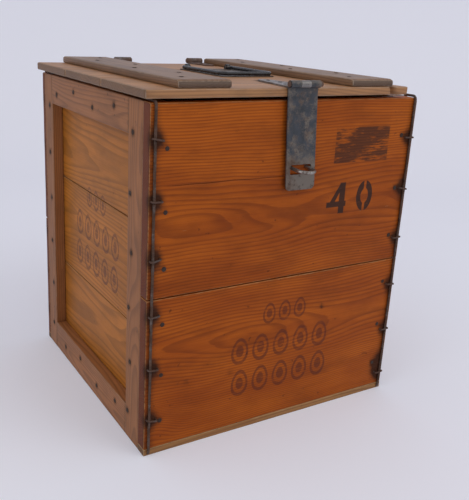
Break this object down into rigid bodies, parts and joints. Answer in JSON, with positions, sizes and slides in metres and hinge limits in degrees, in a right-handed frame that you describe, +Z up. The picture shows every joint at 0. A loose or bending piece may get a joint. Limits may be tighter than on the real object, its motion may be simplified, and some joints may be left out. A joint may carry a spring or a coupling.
{
  "type": "wooden egg crate",
  "caption": "Wooden crate with framed ends, wire-bound corners, a hinged plank lid with cleats, a hanging hasp over a staple, and a folding bail handle on the lid.",
  "frame": {"origin": "centre of the crate body's underside", "axes": "+Z up, -Y towards the front with the hasp, +X to the right as seen from the front"},
  "size_m": [0.3597, 0.3669, 0.4102],
  "materials": {
    "frame_wood": "weathered",
    "end_board_wood": "weathered",
    "front_board_wood": "worn varnish",
    "bottom_board_wood": "bare",
    "lid_board_wood": "weathered",
    "cleat_wood": "weathered",
    "rusty_wire": "rusted",
    "nail_steel": "rusted",
    "hinge_steel": "rusted",
    "staple_steel": "worn bright",
    "painted_hasp": "worn paint",
    "handle_plate_steel": "dull",
    "painted_handle": "worn gloss"
  },
  "bodies": {
    "crate": {"left_front_stile": "frame_wood", "left_back_stile": "frame_wood", "left_top_rail": "frame_wood", "left_bottom_rail": "frame_wood", "right_front_stile": "frame_wood", "right_back_stile": "frame_wood", "right_top_rail": "frame_wood", "right_bottom_rail": "frame_wood", "left_upper_panel": "end_board_wood", "left_middle_panel": "end_board_wood", "left_lower_panel": "end_board_wood", "right_upper_panel": "end_board_wood", "right_middle_panel": "end_board_wood", "right_lower_panel": "end_board_wood", "front_upper_board": "front_board_wood", "front_lower_board": "front_board_wood", "back_upper_board": "front_board_wood", "back_lower_board": "front_board_wood", "bottom_front_board": "bottom_board_wood", "bottom_middle_board": "bottom_board_wood", "bottom_back_board": "bottom_board_wood", "front_left_wire": "rusty_wire", "front_right_wire": "rusty_wire", "back_left_wire": "rusty_wire", "back_right_wire": "rusty_wire", "front_wire_staples": "rusty_wire", "back_wire_staples": "rusty_wire", "left_frame_nails": "nail_steel", "right_frame_nails": "nail_steel", "front_nails": "nail_steel", "back_nails": "nail_steel", "bottom_nails": "nail_steel", "hasp_staple": "staple_steel", "left_hinge_back_leaf": "hinge_steel", "right_hinge_back_leaf": "hinge_steel", "hinge_pins": "hinge_steel", "hinge_back_nails": "nail_steel"},
    "lid": {"lid_front_board": "lid_board_wood", "lid_middle_board": "lid_board_wood", "lid_back_board": "lid_board_wood", "left_cleat": "cleat_wood", "right_cleat": "cleat_wood", "cleat_nails": "nail_steel", "left_hinge_lid_leaf": "hinge_steel", "right_hinge_lid_leaf": "hinge_steel", "hinge_lid_nails": "nail_steel", "hasp_leaf": "hinge_steel", "hasp_leaf_nails": "nail_steel", "handle_base": "handle_plate_steel", "handle_lugs": "painted_handle", "handle_nails": "nail_steel"},
    "hasp": {"hasp_plate": "painted_hasp", "hasp_pin": "hinge_steel"},
    "handle": {"handle_bail": "painted_handle"}
  },
  "joints": [
    {"name": "lid_hinge", "type": "hinge", "parent": "crate", "child": "lid", "pos_m": [0, 0.171, 0.405], "axis": [-1, 0, 0], "range_deg": [0, 220]},
    {"name": "hasp_hinge", "type": "hinge", "parent": "lid", "child": "hasp", "pos_m": [-0.001, -0.1743, 0.405], "axis": [-1, 0, 0], "range_deg": [0, 265]},
    {"name": "handle_pivot", "type": "hinge", "parent": "lid", "child": "handle", "pos_m": [0.012, 0.05107, 0.4048], "axis": [-1, 0, 0], "range_deg": [0, 175]}
  ]
}
